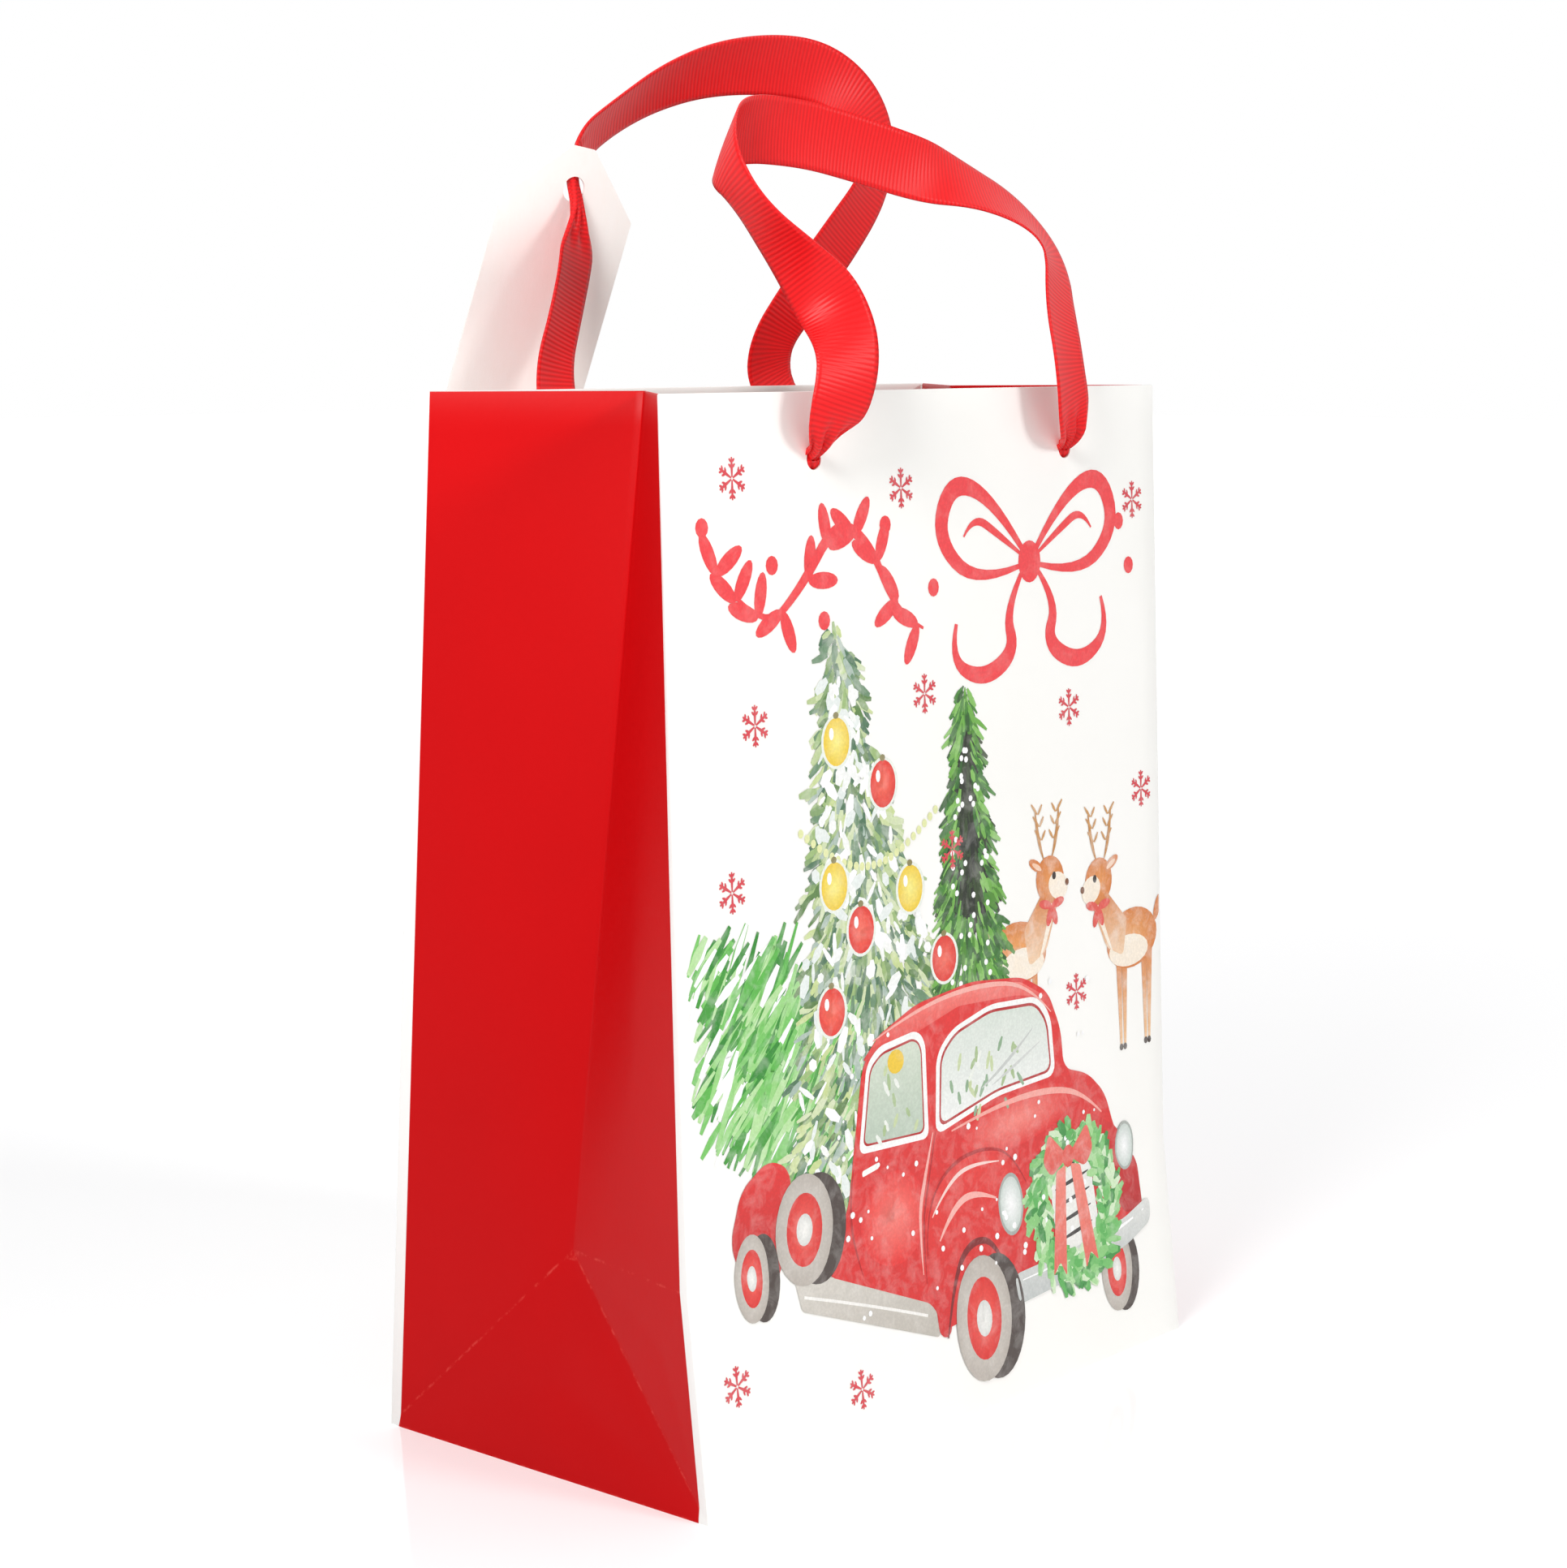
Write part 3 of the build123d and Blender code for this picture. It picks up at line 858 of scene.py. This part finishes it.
def stroke(points, width, colour, level, tapered=True):
    # A smooth brush line through control points, thin at its ends and full in between
    level = nextLevel(level)
    line = splinePoints([(u, s, level) for u, s in points])[::4]
    bm = sheet["bm"]
    rows = []
    for i, here in enumerate(line):
        ahead = line[min(i + 1, len(line) - 1)] - line[max(i - 1, 0)]
        side = Vector((-ahead.y, ahead.x, 0)).normalized()
        half = 0.25 + 0.75 * math.sin(math.pi * i / (len(line) - 1)) if tapered else 1.0
        rows.append([bm.verts.new(here + side * edge * half * width / 2) for edge in (1, -1)])
    faces = [bm.faces.new((a, b, d, c)) for (a, b), (c, d) in zip(rows, rows[1:])]
    ink = linear(colour)
    colourFaces(faces, lambda corner: ink)


snowflakePlaces = [(22, 222), (79, 218), (170, 212), (27, 169), (86, 171), (142, 163), (18, 134),
                   (172, 140), (143, 93), (13, 27), (54, 16), (95, 134)]


def drawSnowflake(place, radius, level):
    # Six arms with two pairs of twigs each
    for arm in range(6):
        angle = 30 + 60 * arm
        dab(place, angle, radius, 0.75, "#D8444E", level)
        out = Vector((math.cos(math.radians(angle)), math.sin(math.radians(angle))))
        for share, twig in ((0.45, 0.30), (0.70, 0.26)):
            knot = (place[0] + out.x * radius * share, place[1] + out.y * radius * share)
            for lean in (-48, 48):
                dab(knot, angle + lean, radius * twig, 0.62, "#D8444E", level)


def drawFlourish():
    # A brushed bow with curling tails between two sprigs, and a leafy garland to its left
    level = 4
    for s in (-1, 1):
        loop = [(127, 199), (127 + 12 * s, 213), (127 + 29 * s, 220), (127 + 36 * s, 206),
                (127 + 20 * s, 194), (127, 199)]
        stroke(loop, 4.8, coral, level)
        inner = [(127, 199), (127 + 12 * s, 206), (127 + 22 * s, 211), (127 + 26 * s, 205)]
        stroke(inner, 2.0, coral, level)
    stroke([(125, 198), (117, 188), (121, 178), (108, 172), (95, 178), (99, 188)], 4.4, coral, level)
    stroke([(129, 198), (138, 189), (133, 179), (147, 173), (160, 181), (155, 191)], 4.4, coral, level)
    disc((127, 199), (4.4, 5.0), coral, level)
    stroke([(86, 186), (76, 190), (68, 206), (56, 212), (44, 198), (30, 188), (14, 204)], 2.8, coral, level)
    garland = [((84, 187), 200), ((77, 193), 170), ((70, 202), 110), ((62, 208), 100), ((53, 206), 60),
               ((46, 199), 40), ((37, 193), 250), ((29, 192), 120), ((22, 196), 100), ((16, 202), 75)]
    for (u, s), angle in garland:
        for lean in (-42, 42):
            dab((u, s), angle + lean, 10.0, 3.8, coral, level, 16)
    for u, s in ((90, 195), (73, 210), (51, 190), (34, 203), (12, 212), (168, 196), (164, 207)):
        disc((u, s), (2.0, 2.1), coral, level, sides=12)


def drawBauble(place, colour, light, level):
    disc(place, (5.3, 6.1), "#EEF3EA", level, sides=24)
    disc(place, (4.5, 5.4), colour, level + 1, sides=24, middle=light)
    disc((place[0] - 1.7, place[1] + 1.9), (0.8, 1.4), "#FFFFFF", level + 2, sides=10)
    disc((place[0], place[1] + 5.9), (1.0, 0.8), "#8C8455", level + 2, sides=8)


def drawSnowyTree():
    # Soft leaves hang down and outwards over a pale wash, under scattered snow
    greens = ["#BCCF96", "#9FBC7C", "#86A56F", "#6C8F6E", "#D3E0B4", "#A9BDB0", "#4F7658", "#CADA98",
              "#5E8448"]
    sheet["wash"] = 0.75
    washes, leaves = printSettings["treeWashes"], printSettings["treeLeaves"]
    for i in range(washes):
        t = (i / (washes - 1)) ** 0.75
        half = 2.0 + 36 * t
        place = (54 + 15 * t + between(-1, 1) * half * 0.82, 186 - 126 * t)
        size = 1.6 + 5.0 * t * between(0.5, 1.0)
        disc(place, (size, size * 0.8), pick(["#C3D4B4", "#A3BC9E", "#D5E2C6", "#93AE96", "#C0D699"]),
             3 + i % 2)
    sheet["wash"] = 0.4
    for i in range(leaves):
        t = (i / leaves) ** 0.62
        s = 190 - 132 * t
        tier = (t * 6.5) % 1.0
        half = 1.2 + 38 * t * (0.72 + 0.28 * tier)
        side = between(-1, 1)
        u = 54 + (190 - s) * 0.125 + side * half
        inner = 1 - abs(side)
        colour = pick(greens[2:7] if inner > between(0.3, 1.2) else greens)
        dab((u, s), -90 + 64 * side + between(-24, 24), between(3.2, 7.5),
            between(1.1, 2.4), colour, 5 + i % 6)
    for i in range(printSettings["treeSnow"]):
        t = between(0.08, 1.0)
        half = 1.0 + 36 * t
        dab((54 + 16 * t + between(-1, 1) * half, 188 - 128 * t), between(-150, -30), between(2.5, 7.0),
            between(1.0, 3.2), pick(["#FFFFFF", "#F7F9F6", "#E9F0EC"]), 11 + i % 2)
    sheet["wash"] = 0.15
    for i in range(24):
        t = i / 23
        disc((41 + 48 * t, 144 - 10 * math.sin(math.pi * t)), (0.9, 1.0), "#E6EBAE", 13, sides=10)
    for place in ((54, 163), (52, 131), (79, 127)):
        drawBauble(place, "#EFCB3A", "#FAF08C", 14)
    for place in ((70, 152), (61, 120), (91, 109), (50, 103)):
        drawBauble(place, "#DE382F", "#F4705E", 14)


def drawFir():
    # Boughs in tiers, near black behind and fresh green at their tips, with a few snowflakes
    sheet["wash"] = 0.2
    twigs = printSettings["firTwigs"]
    for i in range(twigs):
        t = (i / twigs) ** 0.7
        s = 172 - 74 * t
        tier = (t * 6) % 1.0
        half = 0.8 + 17.5 * t * (0.62 + 0.38 * tier)
        side = between(-1, 1)
        deep = abs(side) < between(0.3, 0.95) and 0.12 < t < 0.72
        colour = pick(["#1B2413", "#26331A", "#141C10", "#2F4420"] if deep else
                      ["#4F8A2E", "#6FAE48", "#35702A", "#86C060", "#42822F", "#2B5A22"])
        dab((101 + side * half * 0.85, s), -90 + 52 * side + between(-14, 14),
            between(3.5, 8.0), between(0.9, 1.8), colour, 5 + i % 6 - (3 if deep else 0))
    for i in range(printSettings["firSnow"]):
        t = between(0.2, 0.95)
        disc((101 + between(-1, 1) * 13 * t, 172 - 74 * t), (0.75, 0.75), "#FFFFFF", 12, sides=8)


def drawBoughs():
    # Loose grassy boughs that stick out over the truck's bed
    sheet["wash"] = 0.3
    for i in range(printSettings["boughBlades"]):
        along = between(0, 1)
        u = 5 + 46 * along + between(-5, 5)
        s = 104 - 30 * along + between(-24, 18)
        reach = between(8, 22) * (0.7 if along < 0.2 else 1.0)
        colour = pick(["#5DB64C", "#79C765", "#2F8A2E", "#9AD683", "#429A38", "#B8E2A0", "#FFFFFF"])
        dab((max(u, 3), max(s, 64)), 50 + between(-16, 16), reach, between(1.0, 2.6), colour, 2 + i % 5)


def drawDeer(facing, head, body, foot):
    # A simple young deer in washes of fawn; facing is 1 to look right and -1 to look left
    tan, pale = "#D67F3E", "#FBEEDC"
    sheet["wash"] = 0.4

    def at(spot, ahead, up):
        return spot[0] + ahead * facing, spot[1] + up

    for ahead, lean in ((-7.6, -0.6), (-5.1, 0.4), (3.4, -0.2), (5.9, 0.7)):
        hip, top = at(body, ahead, -2)
        patch([(hip - 1.3, top), (hip + 1.3, top), (hip + 0.5 + lean, foot), (hip - 0.4 + lean, foot)],
              tan, 4, lower="#F3C79A")
        disc((hip + lean, foot), (0.8, 0.9), "#3A2A22", 5, sides=8)
    disc(body, (11, 7.5), tan, 5, turn=-6 * facing, sides=26, middle="#EDA868")
    disc(at(body, 1.5, -3), (8.5, 4.0), pale, 6)
    patch([at(body, 4, -4), at(body, 11, -1), at(head, 3.2, -5), at(head, -3.4, -3), at(body, 2, 5)],
          tan, 7, 1.5, "#F4D2AE")
    patch([at(body, 8, -3), at(body, 10.5, 0), at(head, 3, -5), at(head, 0.6, -5)], pale, 8, 0.6)
    disc(head, (5.6, 5.9), tan, 9, turn=20 * facing, sides=22, middle="#E79A5A")
    disc(at(head, 3.2, -1.8), (4.0, 3.3), pale, 10, turn=-25 * facing, sides=18)
    disc(at(head, 6.8, -1.4), (0.8, 0.9), "#7A4A2C", 11, sides=10)
    disc(at(head, 1.6, 0.8), (0.8, 1.0), "#2E211C", 11, sides=10)
    dab(at(head, -3.0, 2.6), 90 + 62 * facing, 6.0, 2.6, tan, 10, 12)
    dab(at(head, -3.4, 2.7), 90 + 62 * facing, 4.2, 1.3, "#F6CDB0", 11, 12)
    dab(at(body, -10, 3), 90 + 22 * facing, 7.0, 2.6, tan, 6, 12)
    for side in (-1, 1):
        u, s = at(head, -0.8, 5)
        u += side * 1.5
        stroke([(u, s), (u + side * 2.6, s + 5), (u + side * 3.4, s + 13.5)], 1.1, "#C58B4E", 8)
        for share in (0.35, 0.6, 0.82):
            knot = (u + side * 2.6 * share, s + 13.5 * share)
            dab(knot, 90 - side * 42, 4.2, 0.8, "#CF9A60", 8)
            dab(knot, 90 + side * 34, 3.2, 0.8, "#CF9A60", 8)
    for angle in (12, 168, 250, 292):
        dab(at(head, 0.4, -6.4), angle, 5.2, 2.3, "#E25A50", 12, 12)


def drawWheel(place, size, level, lean=3.2):
    # Black tyre, pale side wall, red rim and a chrome cap
    disc((place[0] + lean, place[1] - 0.6), size, "#4A3F3A", level, sides=32)
    disc(place, size, "#B9B1A8", level + 1, sides=32, middle="#D8D3CB")
    disc(place, (size[0] * 0.62, size[1] * 0.66), "#D8302C", level + 2, sides=28, middle="#F0645A")
    disc(place, (size[0] * 0.28, size[1] * 0.29), "#D9DAD6", level + 3, sides=20, middle="#F6F5F0")


def drawTruck():
    # A rounded old farm pickup, turned a little to the right
    red, light, deep, chrome = "#E23230", "#F58178", "#B51F22", "#E3E4E0"
    sheet["wash"] = 0.16
    patch([(14, 58), (18, 69), (27, 74), (34, 71), (35, 58), (27, 43), (19, 45)], red, 14, 3.0, deep)
    drawWheel((20.5, 49), (5.6, 9.8), 15, 3.6)
    patch([(34, 47), (84, 33), (83, 21), (36, 38)], "#D6D1C8", 16, 1.0, "#BDB7AD")
    stroke([(37, 41), (60, 34), (82, 26)], 0.7, "#F5F3EE", 19, tapered=False)
    drawWheel((155, 21), (6.5, 10.5), 15, 3.0)
    body = [(45, 44), (54, 58), (57, 74), (60, 89), (66, 95), (80, 100), (101, 102), (121, 100),
            (131, 95), (136, 85), (137, 75), (147, 72), (154, 66), (158, 56), (167, 44), (168, 33),
            (120, 26), (84, 22), (82, 29)]
    patch(body, red, 18, 3.0, "#D62A29")
    patch([(60, 90), (67, 95.5), (81, 99), (101, 100.8), (120, 99), (130, 94), (118, 96), (96, 97),
           (78, 93), (66, 90)], light, 19, 1.2, red)
    patch([(58, 69), (61.5, 89), (66, 92.5), (80, 94), (83, 91), (83.5, 68)], "#FBFAF8", 20, 2.5)
    patch([(59.5, 70.5), (62.6, 88), (67, 91), (79, 92.4), (81.6, 90), (82, 69.5)], deep, 21, 2.2)
    patch([(60, 71), (63, 87.6), (67, 90.4), (79, 91.8), (81.2, 89.6), (81.5, 70)], "#D3DDCB",
          22, 2.0, "#B9C9B8")
    patch([(86, 68), (87, 87), (93, 92), (108, 95.5), (127, 94.5), (132, 89), (133.5, 74), (110, 73)],
          "#FBFAF8", 20, 3.0)
    patch([(87.4, 69.6), (88.4, 86.4), (94, 91), (108, 94.2), (126, 93.2), (130.6, 88), (132, 75.2),
           (110, 74.2)], deep, 21, 2.6)
    patch([(88, 70.4), (89, 86), (94.4, 90.4), (108, 93.5), (125.6, 92.5), (130, 87.6), (131.4, 75.8),
           (110, 74.8)], "#D9E2D8", 22, 2.4, "#F2F4F1")
    for i in range(printSettings["windowLeaves"]):
        u, s = between(64, 118), between(72, 88)
        if not 80 < u < 91:
            dab((u, s), between(-130, -50), between(2.5, 5.0), 1.3,
                pick(["#A9C08E", "#C9D7A6", "#8FAE8C", "#EEF2EA"]), 23)
    stroke([(104, 76), (114, 80), (126, 88)], 0.9, "#C9CDC9", 24)
    stroke([(108, 76), (117, 79), (129, 84)], 0.8, "#D3D6D2", 24)
    disc((72, 88), (3.0, 2.8), "#EFC93E", 24, sides=14)
    disc((70, 52), (12, 11), red, 19, sides=28, middle=light)
    disc((118, 66), (22, 6.5), red, 19, turn=5, sides=30, middle="#F68A80")
    stroke([(85, 69), (82, 60), (79, 50), (79, 34)], 1.2, "#F7B0A8", 21)
    stroke([(86, 69), (83, 58), (80, 46), (80, 32)], 0.7, deep, 22)
    stroke([(56, 66), (54, 58), (56, 46), (58, 40)], 0.7, deep, 22)
    stroke([(64, 94), (80, 99), (104, 101), (124, 98), (134, 88)], 1.2, "#F9B0A6", 24)
    stroke([(92, 68), (110, 71), (132, 71), (146, 67), (154, 60)], 1.6, "#F7A79D", 24)
    patch([(59, 65), (65, 66), (65, 64.6), (59, 63.6)], "#FBFAF6", 21, 0.5)
    fender = [(81, 48), (86, 57), (98, 61), (111, 59), (119, 50), (122, 36), (119, 22), (113, 22),
              (110, 34), (103, 40), (95, 39), (90, 32), (87, 20), (83, 21)]
    patch(fender, "#E63A35", 24, 2.6, "#D02527")
    stroke([(81, 40), (82, 51), (90, 60), (104, 62), (116, 58), (122, 48)], 0.9, deep, 25)
    stroke([(86, 20), (90, 34), (98, 41), (108, 38), (113, 24)], 1.8, "#7E1A1C", 25)
    stroke([(84, 49), (90, 56), (100, 59), (112, 57)], 1.1, "#FBD5CE", 26)
    stroke([(86, 43), (92, 50), (101, 52), (110, 48)], 1.8, "#F9B4AB", 26)
    patch([(148, 62), (158, 57), (167, 46), (168, 34), (160, 34), (154, 46)], "#D92B2A", 24, 2.0, deep)
    patch([(113, 29), (114, 21.5), (137, 23), (160, 26), (171, 30), (171, 36.5), (160, 33), (137, 30)],
          chrome, 26, 2.2, "#BFC4C2")
    stroke([(116, 27), (138, 28), (160, 31), (170, 34)], 1.0, "#FFFFFF", 27)
    for place, size in (((114, 46), (4.9, 7.6)), ((162, 51), (4.0, 6.2))):
        disc(place, size, "#A9AFA9", 27, sides=26)
        disc(place, (size[0] * 0.86, size[1] * 0.88), "#CBD6CF", 28, sides=26, middle="#FFFFFF")
    drawWheel((100, 21.5), (10.6, 15.0), 28, 5.4)
    drawWheel((38.5, 56), (9.8, 12.6), 24, 4.6)
    patch([(130, 50), (147, 52), (149, 32), (131, 28)], "#EFEFEA", 26, 2.0)
    for k in range(5):
        stroke([(132, 33 + 4.2 * k), (140, 34 + 4.2 * k), (147, 35.5 + 4.2 * k)], 1.0, "#3B3735", 27)
    for i in range(printSettings["truckSnow"]):
        u, s = between(50, 150), between(30, 98)
        if not (58 < u < 134 and 69 < s < 94):  # the windows stay clear
            disc((u, s), [between(0.35, 0.85)] * 2, "#FFFFFF", 33, sides=8)


def drawWreath():
    # A ring of leaves with a bow and two long tails
    sheet["wash"] = 0.3
    for i in range(printSettings["wreathLeaves"]):
        around = between(0, 360)
        a = math.radians(around)
        out = between(0.74, 1.12)
        place = (139.5 + 15.5 * out * math.cos(a), 40.5 + 17.5 * out * math.sin(a))
        dab(place, around + 90 + between(-70, 70), between(3.4, 6.4), between(1.6, 3.0),
            pick(["#5FB35C", "#8CCB7E", "#3F9145", "#A9DA98", "#74BF6C", "#D3EBC4"]), 30 + i % 4)
    for s in (-1, 1):
        patch([(138, 53), (138 + 8 * s, 60), (138 + 10.5 * s, 53), (138 + 7 * s, 49)],
              "#F0776A", 35, 1.6, "#DC5248")
        patch([(138 + s, 51), (138 + 5 * s, 50), (138 + 9.5 * s, 25), (138 + 6.4 * s, 28),
               (138 + 4.2 * s, 24)], "#F28E80", 34, 0.8, "#E4675A")
    disc((138, 53), (2.4, 2.8), "#E2584C", 36, sides=14)


def drawPrint(settings):
    radius = settings["snowflakeRadius"]
    for place in snowflakePlaces[:-1]:
        drawSnowflake(place, radius, 3)
    drawFlourish()
    drawFir()
    drawSnowflake(snowflakePlaces[-1], radius, 13)
    drawBoughs()
    drawDeer(1, (133, 122), (120, 106), 86)
    drawDeer(-1, (153, 119), (167, 103), 76)
    drawSnowyTree()
    drawTruck()
    drawWreath()


def cutToCells(bm, settings):
    # Across and up, so that large shapes bend with the paper, and trimmed at the panel's edges
    for axis, size in ((0, settings["width"]), (1, settings["height"])):
        count = round(size / settings["cell"])
        for k in range(count + 1):
            place, normal = [0, 0, 0], [0, 0, 0]
            place[axis], normal[axis] = size * k / count, 1
            place[axis] += settings["margin"] * ((k == 0) - (k == count))
            bmesh.ops.bisect_plane(bm, geom=bm.verts[:] + bm.edges[:] + bm.faces[:], plane_co=place,
                                   plane_no=normal, clear_inner=k == 0, clear_outer=k == count)


def layPrint(name, flat, surface, folds, facing, settings):
    # facing is -1 for the front panel and 1 for the back one, which has no crease
    bm = flat.copy()
    end = "front" if facing < 0 else "back"
    foot, top = folds[end + "Foot"], folds[end + "Top"]
    crease, height = settings["creaseHeight"], settings["height"]
    bend = folds["kink"] if facing < 0 else foot.lerp(top, crease / height)
    for vert in bm.verts:
        u, s, level = vert.co
        if s < crease:
            place = foot.lerp(bend, s / crease)
        else:
            place = bend.lerp(top, (s - crease) / (height - crease))
        start = Vector((-facing * (u - settings["width"] / 2) * mm,
                        place.y + facing * settings["castFrom"], place.z))
        hit, normal = surface.ray_cast(start, Vector((0, -facing, 0)))[:2]
        vert.co = hit + normal * (settings["lift"] + level * settings["layer"])
    ink = makePiece(name, bm, inkMaterial)
    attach(ink, "bag")
    print(name, "has", len(ink.data.polygons), "faces")


inkMaterial = printedInk(printSettings)
drawPrint(printSettings)
cutToCells(sheet["bm"], printSettings)
bagSurface = BVHTree.FromObject(bagPaper, bpy.context.evaluated_depsgraph_get())
layPrint("printFront", sheet["bm"], bagSurface, bagFolds, -1, printSettings)
layPrint("printBack", sheet["bm"], bagSurface, bagFolds, 1, printSettings)
sheet["bm"].free()
print("print is laid on both panels")
